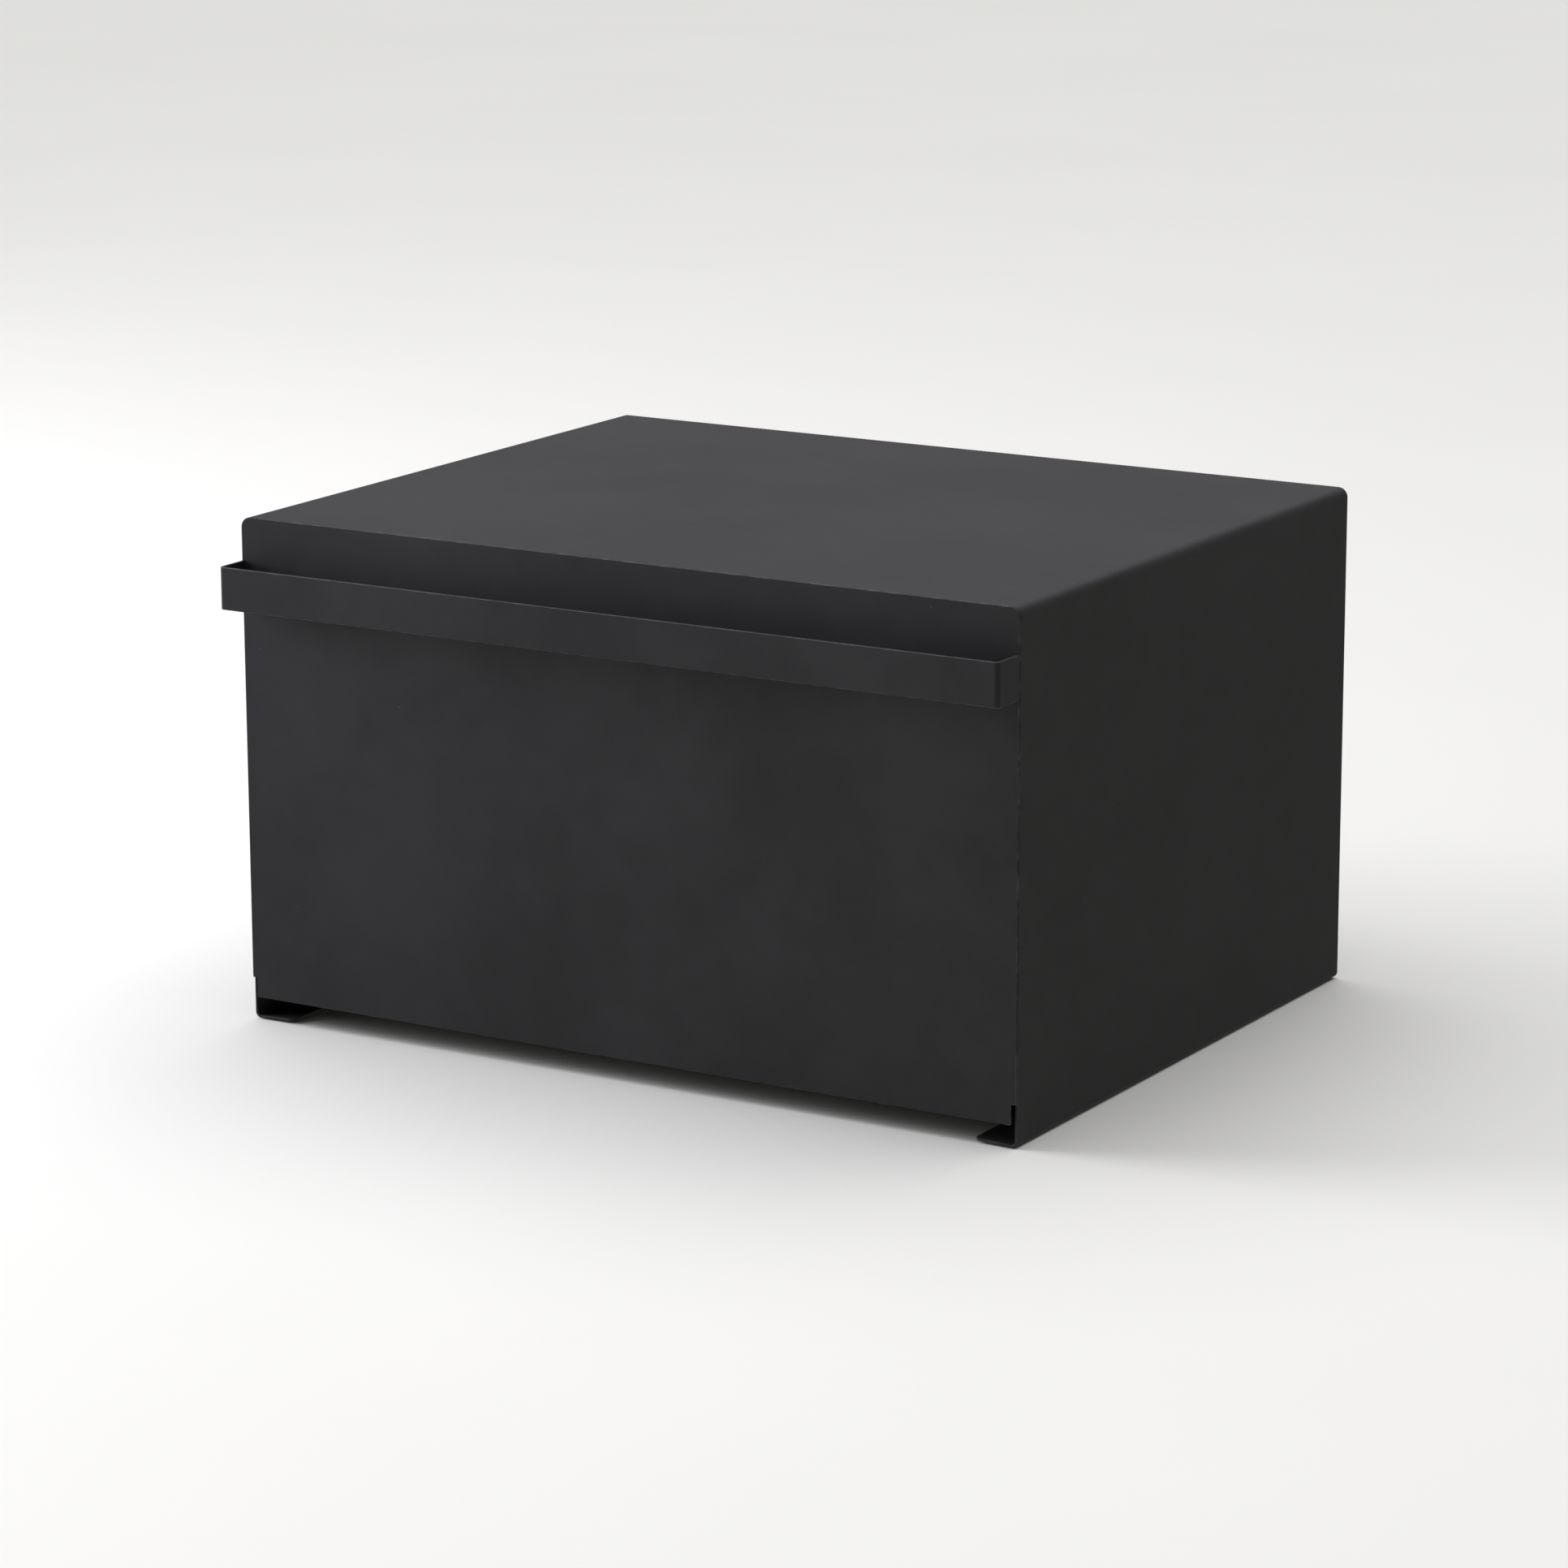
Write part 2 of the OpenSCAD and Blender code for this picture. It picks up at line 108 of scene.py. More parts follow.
class Finish:
    """A material in the making, with the patterns that several finishes share."""

    def __init__(self, name):
        self.material = bpy.data.materials.new(name)
        self.material.use_nodes = True
        tree = self.material.node_tree
        self.shader = tree.nodes["Principled BSDF"]
        coordinates = tree.nodes.new("ShaderNodeTexCoord")
        self.place = Wire(tree, coordinates.outputs["Object"])

    def noise(self, size, detail=2, roughness=0.55, stretch=None):
        """Values about 0.5 whose patches are size metres across."""
        place = self.place
        if stretch:
            place = place.node("ShaderNodeVectorMath", {"operation": "MULTIPLY"},
                               {0: place, 1: stretch})
        return place.node("ShaderNodeTexNoise", None, {
            "Vector": place, "Scale": 1 / size, "Detail": detail, "Roughness": roughness})

    def specks(self, size, share, spread):
        """Round spots, spread cells in radius, in a share of the cells: 1 in a spot, 0 outside."""
        cell = {"Vector": self.place, "Scale": 1 / size}
        near = self.place.node("ShaderNodeTexVoronoi", None, cell)
        pick = self.place.node("ShaderNodeTexVoronoi", None, cell, out=1)
        pick = pick.node("ShaderNodeSeparateColor", None, {0: pick})
        return self.step(near, spread, spread * 0.5) * self.step(pick, share, share * 0.9)

    def step(self, value, low, high):
        """A smooth step from 0 at low to 1 at high."""
        return value.node("ShaderNodeMapRange", {"interpolation_type": "SMOOTHSTEP"}, {
            "Value": value, "From Min": low, "From Max": high})

    def attribute(self, name):
        """The value of a mesh attribute."""
        return self.place.node("ShaderNodeAttribute", {"attribute_name": name}, None, out=2)

    def blend(self, share, first, second):
        """Colour that goes from first to second as share goes from 0 to 1."""
        return self.place.node("ShaderNodeMix", {"data_type": "RGBA"},
                               {0: share, 6: first, 7: second}, out=2)

    def bump(self, height, depth, under=None):
        """Normal for a height that stands depth metres proud, over the bump under it if any."""
        inputs = {"Height": height, "Distance": depth, "Strength": 1.0}
        if under:
            inputs["Normal"] = under
        return self.place.node("ShaderNodeBump", None, inputs)

    def feed(self, **values):
        """Sets the shader's own sockets, to numbers or to wires."""
        for name, value in values.items():
            socket = self.shader.inputs[name.replace("_", " ")]
            if isinstance(value, Wire):
                self.place.tree.links.new(value.socket, socket)
            else:
                socket.default_value = value
        return self.material


def grey(value):
    return (value, value, value, 1)


def powder_coat(name, tone=1.0, wear_and_sheen=0.5):
    """Satin-matt black powder: a fine leathery grain over orange peel, shinier on rims, where a
    lighter grey is a painted highlight in patches like rubbed wear.
    """
    # A lighter grey for the eased rims: a painted highlight.
    rim_highlight_grey = (0.1, 0.1, 0.102, 1)
    dust_grey = grey(0.16)
    peel_depth = 0.012 * MM
    grain_depth = 0.028 * MM
    finish = Finish(name)
    grain = finish.noise(0.55 * MM, detail=3, roughness=0.6)
    peel = finish.noise(3.8 * MM, detail=1)
    cloud = finish.noise(95 * MM, detail=4, roughness=0.6)
    patch = finish.noise(14 * MM, detail=3)
    highlight_patches = finish.step(finish.noise(6 * MM, detail=3), 0.62 - 0.4 * wear_and_sheen, 0.68)
    rim = finish.attribute("rim") * highlight_patches
    dust = finish.specks(21 * MM, share=0.35, spread=0.022)
    shade = 0.55 * cloud + 0.25 * patch + 0.2 * grain
    coat = finish.blend(finish.step(shade, 0.3, 0.7), grey(0.0185 * tone), grey(0.029 * tone))
    # Painted highlight: the eased rims get a lighter grey in patches like rubbed wear, standing in
    # for the light their rounds catch.
    coat = finish.blend(0.8 * rim, coat, rim_highlight_grey)
    coat = finish.blend(0.5 * dust, coat, dust_grey)
    roughness = 0.53 + 0.14 * (cloud - 0.5) + 0.12 * (grain - 0.5) - 0.13 * rim
    waves = finish.bump(peel, peel_depth)
    return finish.feed(Base_Color=coat, Roughness=roughness, Specular_IOR_Level=0.42,
                       Normal=finish.bump(grain, grain_depth, under=waves))


coat_case = powder_coat("powder_coat_case")


def put(piece, body, slot, *nodes):
    """Fixes a finished piece to its body in place of the CAD nodes that it stands for."""
    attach(piece, body)
    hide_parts(*nodes)


def as_object(name, data):
    """A new object in the scene, at the origin, around a mesh, a light or a camera."""
    piece = bpy.data.objects.new(name, data)
    bpy.context.scene.collection.objects.link(piece)
    return piece


def plain_mesh(piece):
    """The mesh that a piece's modifiers make."""
    depsgraph = bpy.context.evaluated_depsgraph_get()
    return bpy.data.meshes.new_from_object(piece.evaluated_get(depsgraph), depsgraph=depsgraph)


def eased(name, mesh, finish, ease=0.25 * MM):
    """A piece with its sharp edges eased to a small round, which the face attribute rim marks."""
    sharp = math.radians(35)
    for attribute in [a for a in mesh.attributes if a.name == "custom_normal"]:
        mesh.attributes.remove(attribute)
    # The second slot holds the same finish. It only marks the faces that the bevel adds.
    mesh.materials.clear()
    mesh.materials.append(finish)
    mesh.materials.append(finish)
    for face in mesh.polygons:
        face.material_index = 0
    mesh.shade_smooth()
    piece = as_object(name, mesh)
    edge = piece.modifiers.new("eased_edges", "BEVEL")
    edge.width = ease
    edge.segments = 3
    edge.limit_method = "ANGLE"
    edge.angle_limit = sharp
    edge.material = 1
    edge.miter_outer = "MITER_ARC"
    flats = piece.modifiers.new("flat_flats", "WEIGHTED_NORMAL")
    flats.weight = 80
    mesh = plain_mesh(piece)
    piece.modifiers.clear()
    piece.data = mesh
    rim = piece.data.attributes.new("rim", "FLOAT", "FACE")
    rim.data.foreach_set("value", [float(f.material_index) for f in piece.data.polygons])
    for face in piece.data.polygons:
        face.material_index = 0
    piece.data.materials.pop(index=1)
    return piece


def open_tree(name, sockets, result):
    """A wire from each named input of a new Geometry Nodes tree."""
    tree = bpy.data.node_groups.new(name, "GeometryNodeTree")
    for label, kind in sockets.items():
        tree.interface.new_socket(name=label, in_out="INPUT", socket_type="NodeSocket" + kind)
    tree.interface.new_socket(name=result, in_out="OUTPUT", socket_type="NodeSocketGeometry")
    entry = tree.nodes.new("NodeGroupInput")
    return [Wire(tree, entry.outputs[label]) for label in sockets]


def close_tree(shape, finish):
    """Makes a tree's instances real, coats them and hands them out. Gives back the tree."""
    shape = shape.node("GeometryNodeRealizeInstances", None, {"Geometry": shape})
    shape = shape.node("GeometryNodeSetMaterial", None, {"Geometry": shape, "Material": finish})
    leave = shape.tree.nodes.new("NodeGroupOutput")
    shape.tree.links.new(shape.socket, leave.inputs[0])
    return shape.tree


def folded_sheet_tree():
    """Sweeps a rectangle of sheet along a fold line drawn in the XY plane, rounding each fold."""
    line, thickness, width, facets, finish = open_tree("folded_sheet", {
        "Fold line": "Geometry", "Thickness": "Float", "Width": "Float", "Facets": "Int",
        "Finish": "Material"}, "Sheet")
    curve = line.node("GeometryNodeMeshToCurve", None, {"Mesh": line})
    curve = line.node("GeometryNodeSetCurveNormal", {"mode": "Z_UP"}, {"Curve": curve})
    radius = line.node("GeometryNodeInputNamedAttribute", {"data_type": "FLOAT"},
                       {"Name": "fold_radius"})
    curve = line.node("GeometryNodeFilletCurve", {"mode": "POLY"},
                      {"Curve": curve, "Count": facets, "Radius": radius})
    section = line.node("GeometryNodeCurvePrimitiveQuadrilateral", {"mode": "RECTANGLE"},
                        {"Width": thickness, "Height": width})
    sheet = line.node("GeometryNodeCurveToMesh", None,
                      {"Curve": curve, "Profile Curve": section, "Fill Caps": True})
    return close_tree(sheet, finish)


folded_sheet = folded_sheet_tree()


def run_tree(name, source, tree, values):
    """The plain mesh that a node tree makes from a source mesh."""
    piece = as_object(name, source)
    nodes = piece.modifiers.new("nodes", "NODES")
    nodes.node_group = tree
    for socket in tree.interface.items_tree:
        if socket.name in values:
            nodes[socket.identifier] = values[socket.name]
    mesh = plain_mesh(piece)
    bpy.data.objects.remove(piece)
    return mesh


def folded(name, line, radii, thickness, width, finish, facets=14):
    """The mesh of a sheet folded along a line of (x, y) points, width wide along Z."""
    source = bpy.data.meshes.new(name + "_line")
    links = [(i, i + 1) for i in range(len(line) - 1)]
    source.from_pydata([(x, y, 0) for x, y in line], links, [])
    folds = source.attributes.new("fold_radius", "FLOAT", "POINT")
    folds.data.foreach_set("value", [0.0, *radii, 0.0])
    mesh = run_tree(name, source, folded_sheet, {
        "Thickness": thickness, "Width": width, "Facets": facets, "Finish": finish})
    return merged(mesh)


def unseamed(mesh):
    """A mesh under work, with its seams closed."""
    same_place = 0.002 * MM
    work = bmesh.new()
    work.from_mesh(mesh)
    bmesh.ops.remove_doubles(work, verts=work.verts, dist=same_place)
    return work


def saved(work, mesh):
    """Writes a mesh under work into its mesh."""
    work.to_mesh(mesh)
    work.free()
    return mesh


def merged(mesh):
    work = unseamed(mesh)
    bmesh.ops.recalc_face_normals(work, faces=work.faces)
    return saved(work, mesh)


case_low, case_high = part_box("case_shell")
door_low, door_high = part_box("door_panel")
# The door is cut from the same sheet as the case
sheet_t = door_high.y - door_low.y
top_fold = 5 * MM
foot_fold = 3 * MM
foot_w = 22.5 * MM
foot_rise = math.radians(2)
foot_corner = 3 * MM


def case_fold_line():
    """Front view of the middle of the sheet, from one foot flange's free edge to the other's."""
    inner = foot_fold - sheet_t / 2
    side_x = case_high.x - sheet_t / 2
    centre = Vector((case_high.x - foot_fold, case_low.z + foot_fold))
    down = Vector((-math.sin(foot_rise), -math.cos(foot_rise)))
    along = Vector((-math.cos(foot_rise), math.sin(foot_rise)))
    tip = centre + inner * down + (foot_w - foot_fold) * along
    foot_z = centre.y - inner * (1 + math.sin(foot_rise)) / math.cos(foot_rise)
    right = [tuple(tip), (side_x, foot_z), (side_x, case_high.z - sheet_t / 2)]
    return right + [(-x, z) for x, z in reversed(right)]


def round_corners(mesh, radius, chosen):
    """Rounds the edges across the sheet's thickness whose middles chosen() picks."""
    longest = 1.2 * sheet_t
    work = bmesh.new()
    work.from_mesh(mesh)
    corners = [e for e in work.edges if e.calc_length() < longest
               and chosen((e.verts[0].co + e.verts[1].co) / 2)]
    bmesh.ops.bevel(work, geom=corners, offset=radius, segments=7, profile=0.5,
                    affect="EDGES", offset_type="OFFSET")
    return saved(work, mesh)


def make_case():
    half_t = sheet_t / 2
    near_tip = 2 * MM
    flange_h = 3 * MM
    mesh = folded("case", case_fold_line(),
                  [foot_fold - half_t, top_fold - half_t, top_fold - half_t, foot_fold - half_t],
                  sheet_t, case_high.y - case_low.y, coat_case)
    turn = Matrix.Rotation(math.radians(90), 4, "X")
    mesh.transform(Matrix.Translation((0, (case_low.y + case_high.y) / 2, 0)) @ turn)
    tip_x = case_high.x - foot_w + near_tip
    mesh = round_corners(mesh, foot_corner,
                         lambda p: abs(p.x) < tip_x and p.z < case_low.z + flange_h)
    put(eased("case", mesh, coat_case), "cabinet", "powder_coat", "case_shell")


make_case()


# ---- Back: a flanged sheet that closes the case behind, spot-welded to it through its flanges.
# It is coated with the case, so only a hairline seam shows around it.


def finished_copy(name, node, finish, ease=0.25 * MM):
    """A clean copy of a CAD solid with eased edges."""
    nearly_flat = math.radians(0.6)
    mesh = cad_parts[node].data.copy()
    work = unseamed(mesh)
    bmesh.ops.dissolve_limit(work, angle_limit=nearly_flat, verts=work.verts, edges=work.edges,
                             delimit={"NORMAL"})
    return eased(name, saved(work, mesh), finish, ease)


coat_inside = powder_coat("powder_coat_inside", tone=0.95, wear_and_sheen=0.3)
put(finished_copy("back", "back_panel", coat_inside), "cabinet", "powder_coat", "back_panel")


# ---- Floor: a tray with its side and back flanges turned down and its front edge hemmed, so that
# no raw edge meets the hand. It is spot-welded between the sides above the foot flanges.

put(finished_copy("floor_tray", "floor_panel", coat_inside, ease=0.2 * MM),
    "cabinet", "powder_coat", "floor_panel")


# ---- Hinge brackets: 1.5 mm laser-cut angles under the floor's front corners. Each carries a
# pivot pin in its nose and is held by two M3 pan-head screws from below.

SIDES = ("left", "right")
for side in SIDES:
    bracket = "hinge_bracket_" + side
    put(finished_copy("bracket_" + side, bracket, coat_inside, ease=0.15 * MM),
        "cabinet", "powder_coat", bracket)


def shaded(colour, share):
    """A colour made darker or lighter, with its alpha."""
    return (*(c * share for c in colour), 1)


def plated_steel(name, tint=(0.60, 0.60, 0.57), roughness=0.3):
    """Plated steel: faint crystal spangle, fine drawn scratches and dull patches."""
    finish = Finish(name)
    spangle = finish.noise(1.6 * MM, detail=2)
    scratch = finish.noise(0.9 * MM, detail=3, stretch=(1, 14, 1))
    dull = finish.noise(4 * MM, detail=3)
    dulled = (tint[0] * 0.72, tint[1] * 0.72, tint[2] * 0.74, 1)
    clear = finish.step(0.6 * dull + 0.4 * spangle, 0.35, 0.65)
    colour = finish.blend(clear, dulled, shaded(tint, 1.1))
    return finish.feed(Base_Color=colour, Metallic=1.0,
                       Roughness=roughness + 0.25 * (dull - 0.5) + 0.12 * (scratch - 0.5),
                       Normal=finish.bump(scratch, 0.01 * MM))


zinc = plated_steel("zinc_plated_steel")


def screw_blank(name, head_h, shank_l, socket_d):
    """An M3 pan-head screw with a hex socket, its seat at the origin and its shank along -Z."""
    shank_r = 1.48 * MM
    point_r = 0.8 * shank_r
    point_h = 0.3 * MM
    head_r = 2.7 * MM
    side_h = 0.45 * head_h
    dome_r = head_h - side_h
    socket_r = 1.15 * MM
    steps = 32
    dome_steps = 4
    outline = [(point_r, -shank_l), (shank_r, -shank_l + point_h), (shank_r, 0.0), (head_r, 0.0),
               (head_r, side_h)]
    for k in range(1, dome_steps + 1):
        turn = math.radians(90 * k / dome_steps)
        outline.append((head_r - dome_r * (1 - math.cos(turn)), side_h + dome_r * math.sin(turn)))
    work = bmesh.new()
    rings = [[work.verts.new((r * math.cos(a), r * math.sin(a), z))
              for a in (2 * math.pi * i / steps for i in range(steps))] for r, z in outline]
    tip = work.verts.new((0, 0, -shank_l))
    floor_ring = [work.verts.new((socket_r * math.cos(math.pi * i / 3),
                                  socket_r * math.sin(math.pi * i / 3), head_h - socket_d))
                  for i in range(6)]
    mouth = [work.verts.new((v.co.x, v.co.y, head_h)) for v in floor_ring]
    for i in range(steps):
        j = (i + 1) % steps
        work.faces.new((tip, rings[0][j], rings[0][i]))
        for low, high in zip(rings, rings[1:]):
            work.faces.new((low[i], low[j], high[j], high[i]))
    for i in range(6):
        j = (i + 1) % 6
        work.faces.new((mouth[j], mouth[i], floor_ring[i], floor_ring[j]))
    work.faces.new(floor_ring)
    rim_edges = [work.edges.get((rings[-1][i], rings[-1][(i + 1) % steps])) for i in range(steps)]
    rim_edges += [work.edges.get((mouth[i], mouth[(i + 1) % 6])) for i in range(6)]
    bmesh.ops.bridge_loops(work, edges=rim_edges)
    bmesh.ops.recalc_face_normals(work, faces=work.faces)
    return saved(work, bpy.data.meshes.new(name))


def screw_tree():
    """Puts a screw at each point, turned a different way about its own axis by a fixed seed."""
    points, screw, lean, seed, finish = open_tree("set_of_screws", {
        "Points": "Geometry", "Screw": "Object", "Lean": "Vector", "Seed": "Int",
        "Finish": "Material"}, "Screws")
    shape = points.node("GeometryNodeObjectInfo", None, {"Object": screw}, out="Geometry")
    spin = points.node("FunctionNodeRandomValue", {"data_type": "FLOAT"},
                       {"Max": 2 * math.pi, "Seed": seed}, out=1)
    spin = points.node("ShaderNodeCombineXYZ", None, {"Z": spin})
    placed = points.node("GeometryNodeInstanceOnPoints", None,
                         {"Points": points, "Instance": shape, "Rotation": lean})
    placed = points.node("GeometryNodeRotateInstances", None,
                         {"Instances": placed, "Rotation": spin, "Local Space": True})
    return close_tree(placed, finish)


set_of_screws = screw_tree()


def screws(name, node, blank, points, lean, seed):
    """The screws that stand for one CAD node, all in one piece, with their heads at the points."""
    source = bpy.data.meshes.new(name + "_points")
    source.from_pydata(points, [], [])
    pattern = as_object(name + "_pattern", blank)
    mesh = run_tree(name, source, set_of_screws, {
        "Screw": pattern, "Lean": lean, "Seed": seed, "Finish": zinc})
    bpy.data.objects.remove(pattern)
    put(eased(name, merged(mesh), zinc, ease=0.08 * MM), "cabinet", "zinc_plated_steel", node)


def middles(node):
    """The middle of each separate solid in a CAD node."""
    work = unseamed(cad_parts[node].data)
    left = set(work.verts)
    found = []
    while left:
        group = set()
        queue = [left.pop()]
        while queue:
            vert = queue.pop()
            group.add(vert)
            for edge in vert.link_edges:
                other = edge.other_vert(vert)
                if other in left:
                    left.discard(other)
                    queue.append(other)
        low = Vector(min(v.co[i] for v in group) for i in range(3))
        high = Vector(max(v.co[i] for v in group) for i in range(3))
        found.append((low + high) / 2)
    work.free()
    return sorted(found, key=lambda p: (round(p.x, 5), round(p.y, 5)))


bracket_head_h = 1.6 * MM
screw_low, screw_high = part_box("bracket_screws")
bracket_blank = screw_blank("bracket_screw", bracket_head_h,
                            shank_l=screw_high.z - screw_low.z - bracket_head_h, socket_d=0.9 * MM)
screws("bracket_screw_set", "bracket_screws", bracket_blank,
       [(p.x, p.y, screw_low.z + bracket_head_h) for p in middles("bracket_screws")],
       lean=(math.pi, 0, 0), seed=3)


# ---- Pivots: a headed steel pin, plated and passivated black, stands in each bracket and is held
# by an open spring clip in its groove. The door turns on it in a flanged nylon bush.

black_plate = plated_steel("black_passivated_steel", tint=(0.03, 0.03, 0.031), roughness=0.45)
for side in SIDES:
    pin = "pivot_pin_" + side
    put(finished_copy(pin + "_turned", pin, black_plate, ease=0.1 * MM),
        "cabinet", "zinc_plated_steel", pin)

spring_steel = plated_steel("spring_steel", tint=(0.36, 0.35, 0.34), roughness=0.36)
for side in SIDES:
    clip = "pin_clip_" + side
    put(finished_copy(clip + "_stamped", clip, spring_steel, ease=0.06 * MM),
        "cabinet", "zinc_plated_steel", clip)


# ---- Front rail: an angle spot-welded under the top's front edge. It stiffens the edge and
# carries the two magnetic catches in its windows.

put(finished_copy("rail", "front_rail", coat_inside, ease=0.2 * MM),
    "cabinet", "powder_coat", "front_rail")


# ---- Catches: each is a moulded housing with a ferrite bar magnet between two steel plates,
# which reach through the rail to the back of the door. Two screws hold it to the rail.


def moulded_plastic(name, colour, roughness=0.5):
    """Spark-eroded moulded plastic with soft flow marks and a faint bloom."""
    finish = Finish(name)
    pits = finish.noise(0.3 * MM, detail=2)
    flow = finish.noise(7 * MM, detail=3, stretch=(1, 1, 3))
    marks = finish.step(0.7 * flow + 0.3 * pits, 0.35, 0.65)
    tint = finish.blend(marks, shaded(colour, 0.75), shaded(colour, 1.25))
    return finish.feed(Base_Color=tint,
                       Roughness=roughness + 0.16 * (flow - 0.5) + 0.1 * (pits - 0.5),
                       Normal=finish.bump(pits, 0.012 * MM))


def sintered_ferrite(name):
    """Ground ferrite: dark grey, grainy, with the grinder's fine parallel lines."""
    finish = Finish(name)
    grain = finish.noise(0.25 * MM, detail=4, roughness=0.7)
    lines = finish.noise(0.5 * MM, detail=2, stretch=(0.1, 1, 1))
    ground = finish.step(0.6 * grain + 0.4 * lines, 0.3, 0.7)
    tint = finish.blend(ground, (0.035, 0.034, 0.034, 1), (0.085, 0.083, 0.082, 1))
    return finish.feed(Base_Color=tint, Metallic=0.3, Roughness=0.5 + 0.2 * (grain - 0.5),
                       Normal=finish.bump(grain + lines, 0.008 * MM))


black_plastic = moulded_plastic("black_plastic", (0.022, 0.022, 0.022))
ferrite = sintered_ferrite("ferrite")
for side in SIDES:
    for part, finish, slot, ease in (
            ("catch_housing_", black_plastic, "black_plastic", 0.4 * MM),
            ("catch_magnet_", ferrite, "ferrite", 0.25 * MM),
            ("pole_plates_", zinc, "zinc_plated_steel", 0.1 * MM)):
        node = part + side
        put(finished_copy(node + "_made", node, finish, ease), "cabinet", slot, node)

catch_head_h = 1.1 * MM
catch_low, catch_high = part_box("catch_screws")
catch_blank = screw_blank("catch_screw", catch_head_h,
                          shank_l=catch_high.y - catch_low.y - catch_head_h, socket_d=0.6 * MM)
screws("catch_screw_set", "catch_screws", catch_blank,
       [(p.x, catch_low.y + catch_head_h, p.z) for p in middles("catch_screws")],
       lean=(math.radians(90), 0, 0), seed=8)


# ---- Bumpers and feet: self-adhesive silicone. Two dots on the rail take the closing door, and
# four thin pads under the foot flanges keep the box from sliding and scratching.


def silicone(name):
    """Soft dark silicone: matt, slightly mottled, with lint on it."""
    finish = Finish(name)
    mottle = finish.noise(3 * MM, detail=3)
    lint = finish.specks(1.4 * MM, share=0.3, spread=0.12)
    clean = finish.blend(finish.step(mottle, 0.35, 0.65), (0.035, 0.035, 0.036, 1),
                         (0.06, 0.06, 0.061, 1))
    tint = finish.blend(0.4 * lint, clean, grey(0.2))
    return finish.feed(Base_Color=tint, Roughness=0.72 + 0.2 * (mottle - 0.5),
                       Normal=finish.bump(mottle, 0.02 * MM))


soft_silicone = silicone("silicone_rubber")
for node in ["rail_bumper_left", "rail_bumper_right"] + [
        f"foot_pad_{end}_{side}" for end in ("front", "rear") for side in SIDES]:
    put(finished_copy(node + "_moulded", node, soft_silicone, ease=0.15 * MM),
        "cabinet", "silicone_rubber", node)


# ---- Door: a flat 1.2 mm sheet that covers the whole front. Its top corners follow the case's
# folds, and two relief cuts narrow its foot so that it swings in between the side walls.

coat_door = powder_coat("powder_coat_door", tone=1.0, wear_and_sheen=0.55)
relief_w = 2.6 * MM
relief_h = 10 * MM


def arc(x, z, radius, start, steps=10):
    """A quarter round about (x, z), anticlockwise from start degrees."""
    turns = [math.radians(start + 90 * k / steps) for k in range(steps + 1)]
    return [(x + radius * math.cos(turn), z + radius * math.sin(turn)) for turn in turns]


def door_outline():
    """Right half of the door's front view, from its foot up to its top."""
    foot_x = door_high.x - relief_w
    foot_r = 1 * MM
    half = arc(foot_x - foot_r, door_low.z + foot_r, foot_r, -90, steps=4)
    half += [(foot_x, door_low.z + relief_h), (door_high.x, door_low.z + relief_h)]
    half += arc(door_high.x - top_fold, door_high.z - top_fold, top_fold, 0)
    return half


def make_door():
    half = door_outline()
    outline = half + [(-x, z) for x, z in reversed(half)]
    work = bmesh.new()
    front = work.faces.new([work.verts.new((x, door_low.y, z)) for x, z in outline])
    sheet = bmesh.ops.extrude_face_region(work, geom=[front])
    bmesh.ops.translate(work, vec=(0, sheet_t, 0),
                        verts=[v for v in sheet["geom"] if isinstance(v, bmesh.types.BMVert)])
    bmesh.ops.recalc_face_normals(work, faces=work.faces)
    mesh = saved(work, bpy.data.meshes.new("door"))
    put(eased("door", mesh, coat_door), "door", "powder_coat", "door_panel")


make_door()


# ---- Handle: a 21 by 1.5 mm flat steel strip bent to a wide U, its legs welded to the door's
# face, ground flush with the door's edges and coated with it. Its edges carry a painted highlight,
# patchy like finger wear.

coat_handle = powder_coat("powder_coat_handle", tone=1.05, wear_and_sheen=0.8)
handle_low, handle_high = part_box("handle_bar")
handle_t = 1.5 * MM
handle_fold = 2.4 * MM


def make_handle():
    side_x = handle_high.x - handle_t / 2
    front_y = handle_low.y + handle_t / 2
    line = [(-side_x, handle_high.y), (-side_x, front_y),
            (side_x, front_y), (side_x, handle_high.y)]
    fold = handle_fold - handle_t / 2
    mesh = folded("handle", line, [fold, fold], handle_t, handle_high.z - handle_low.z,
                  coat_handle, facets=10)
    mesh.transform(Matrix.Translation((0, 0, (handle_low.z + handle_high.z) / 2)))
    put(eased("handle", mesh, coat_handle, ease=0.3 * MM), "door", "powder_coat", "handle_bar")


make_handle()


# ---- Hinge ears and bushes: an angle welded inside each lower corner of the door carries a
# flanged bush of black nylon, pressed in from the outside.

nylon = moulded_plastic("black_nylon", (0.02, 0.02, 0.02), roughness=0.42)
for side in SIDES:
    ear = "hinge_ear_" + side
    bush = "hinge_bush_" + side
    put(finished_copy(ear + "_welded", ear, coat_door, ease=0.15 * MM), "door", "powder_coat", ear)
    put(finished_copy(bush + "_pressed", bush, nylon, ease=0.08 * MM), "door", "nylon", bush)


# ---- Stage: a plain pale worktop under one light as broad as a studio ceiling, with a soft box at
# the left and a long lens that looks down a little from the right of the front.


def pale_floor():
    """A wide round worktop that the box stands on, kept out of the coat's reflections."""
    across = 28
    finish = Finish("pale_floor")
    mottle = finish.noise(0.4, detail=3)
    tint = finish.blend(mottle, (0.88, 0.89, 0.80, 1), (0.92, 0.93, 0.84, 1))
    work = bmesh.new()
    bmesh.ops.create_circle(work, cap_ends=True, segments=96, radius=across / 2)
    mesh = saved(work, bpy.data.meshes.new("floor_plane"))
    mesh.materials.append(finish.feed(Base_Color=tint, Roughness=0.9, Specular_IOR_Level=0.1))
    plane = as_object("floor_plane", mesh)
    plane.visible_glossy = False


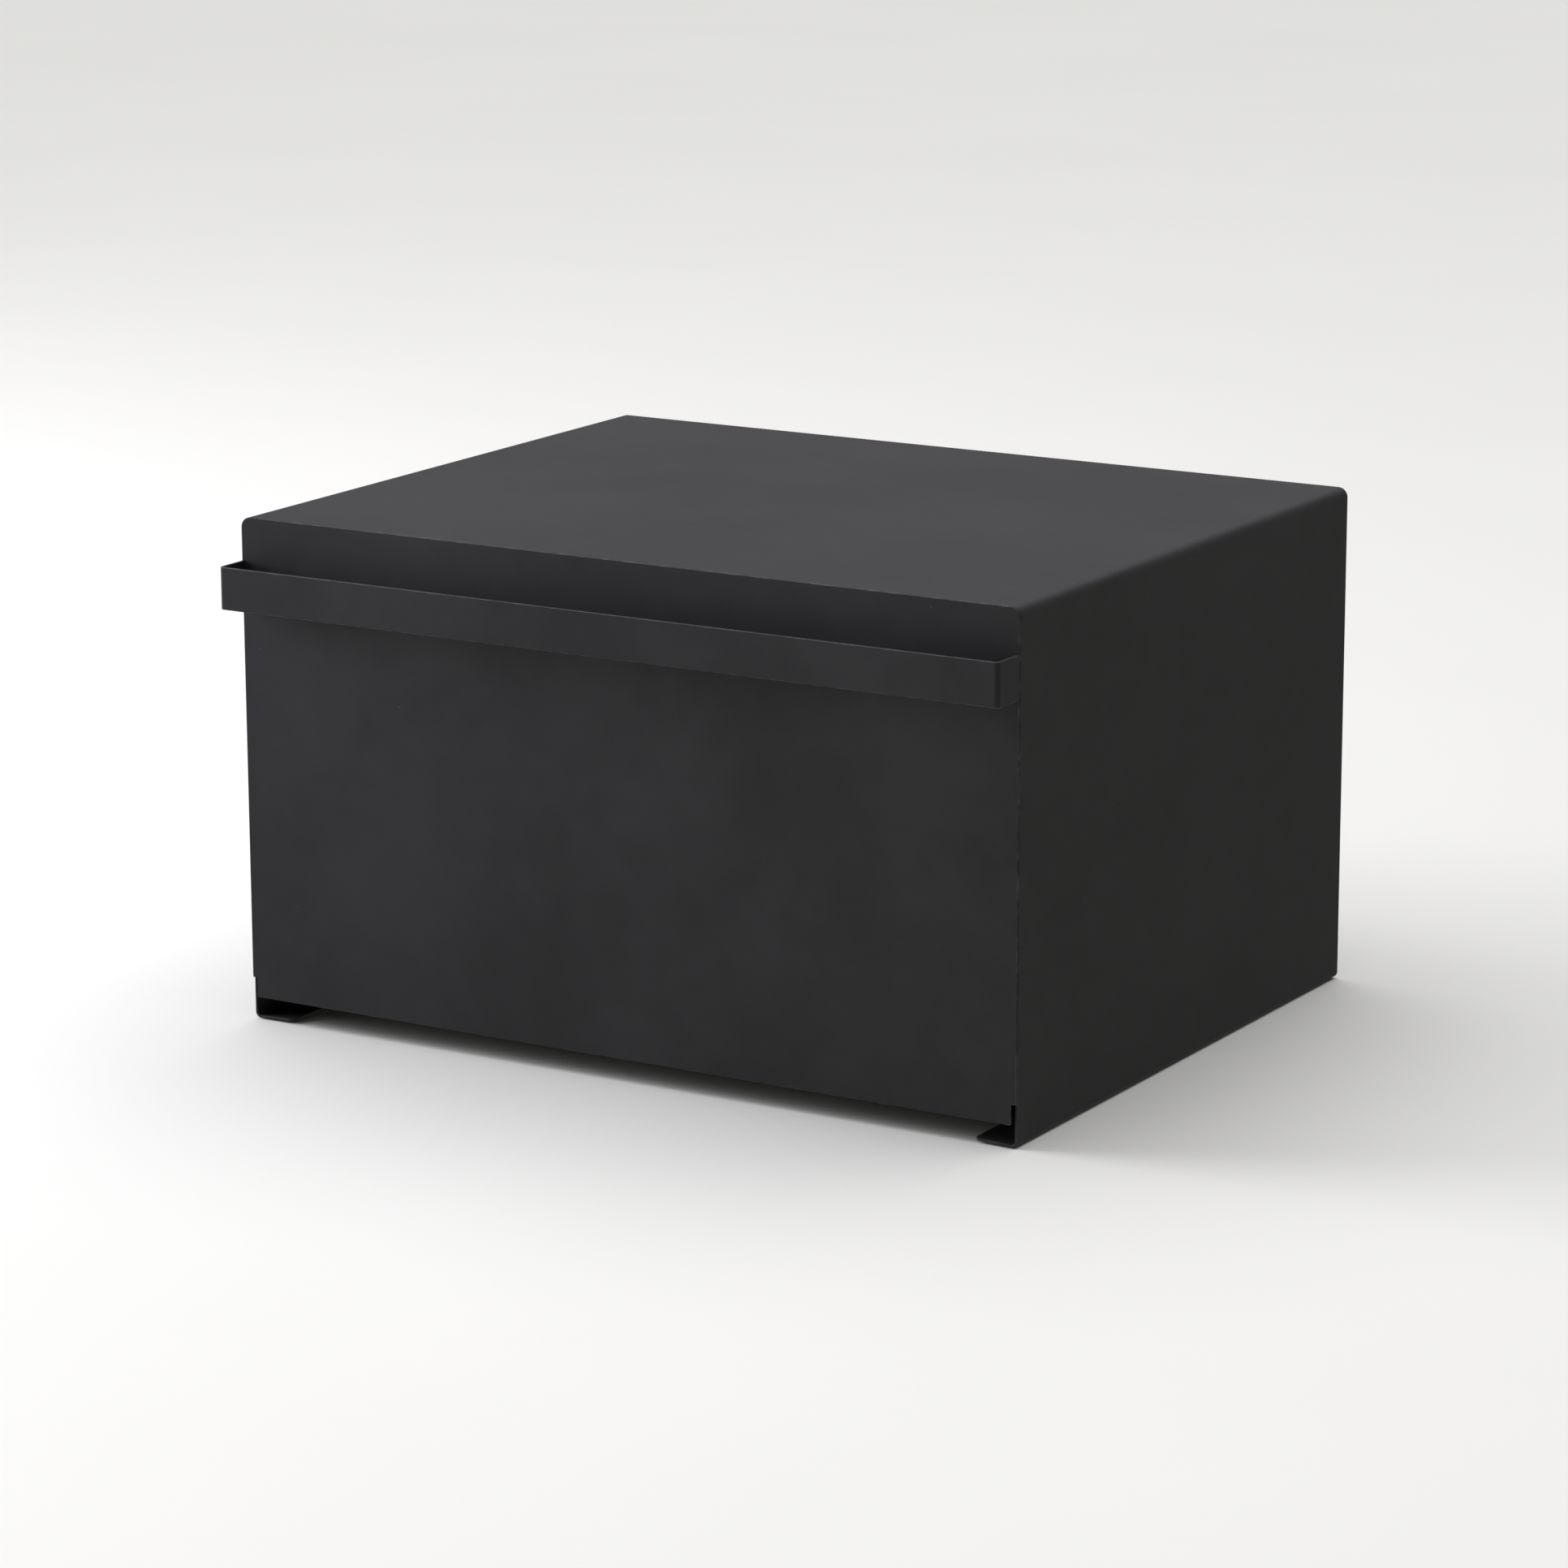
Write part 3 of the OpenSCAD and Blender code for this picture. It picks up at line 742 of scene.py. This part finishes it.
def ceiling_light():
    light = bpy.data.lights.new("ceiling", "SUN")
    light.energy = 2.24
    light.angle = math.radians(76)
    light.color = (0.92, 0.90, 1.0)
    lamp = as_object("ceiling", light)
    lamp.rotation_euler = (math.radians(-12), math.radians(-5), 0)


def soft_box(name, place, size, watts, colour):
    """A square soft box, aimed at the middle of the part and never seen itself."""
    light = bpy.data.lights.new(name, "AREA")
    light.size = size
    light.energy = watts
    light.color = colour
    lamp = as_object(name, light)
    lamp.location = place
    lamp.visible_camera = False
    aim = (cad_low + cad_high) / 2 - lamp.location
    lamp.rotation_euler = aim.to_track_quat("-Z", "Y").to_euler()


def studio_air():
    """Dim grey air, darker towards the unlit corner at the right front; a pale wall when seen."""
    world = bpy.data.worlds.new("studio")
    world.use_nodes = True
    tree = world.node_tree
    background = tree.nodes["Background"]
    coordinates = tree.nodes.new("ShaderNodeTexCoord")
    direction = Wire(tree, coordinates.outputs["Generated"])
    lit_air = 0.21
    corner_loss = 0.17
    seen_wall = 0.82
    unlit = math.radians(62)
    corner = (math.sin(unlit), -math.cos(unlit), 0)
    facing = direction.node("ShaderNodeVectorMath", {"operation": "DOT_PRODUCT"},
                            {0: direction, 1: corner}, out=1)
    gloom = facing.node("ShaderNodeMapRange", {"interpolation_type": "SMOOTHSTEP"}, {
        "Value": facing, "From Min": 0.45, "From Max": 0.95})
    path = tree.nodes.new("ShaderNodeLightPath")
    seen = Wire(tree, path.outputs["Is Camera Ray"])
    glow = lit_air - corner_loss * gloom
    strength = glow + seen * (seen_wall - glow)
    tree.links.new(strength.socket, background.inputs["Strength"])
    background.inputs["Color"].default_value = (1.0, 1.0, 0.97, 1)
    bpy.context.scene.world = world


def long_lens():
    azimuth = math.radians(31.104)
    elevation = math.radians(13.574)
    tilt = math.radians(-0.155)
    camera = bpy.data.cameras.new("camera")
    camera.sensor_width = 36
    camera.lens = 126
    eye = as_object("camera", camera)
    eye.location = (1.3626, -2.2662, 0.7510)
    level = math.cos(elevation)
    look = Vector((-math.sin(azimuth) * level, math.cos(azimuth) * level, -math.sin(elevation)))
    aim = look.to_track_quat("-Z", "Y") @ Quaternion((0, 0, 1), tilt)
    eye.rotation_euler = aim.to_euler()
    bpy.context.scene.camera = eye


pale_floor()
ceiling_light()
soft_box("left_soft_box", place=(-2.2, -0.7, 0.9), size=1.4, watts=54, colour=(0.87, 0.85, 1.0))
studio_air()
long_lens()
bpy.context.scene.view_settings.view_transform = "Standard"
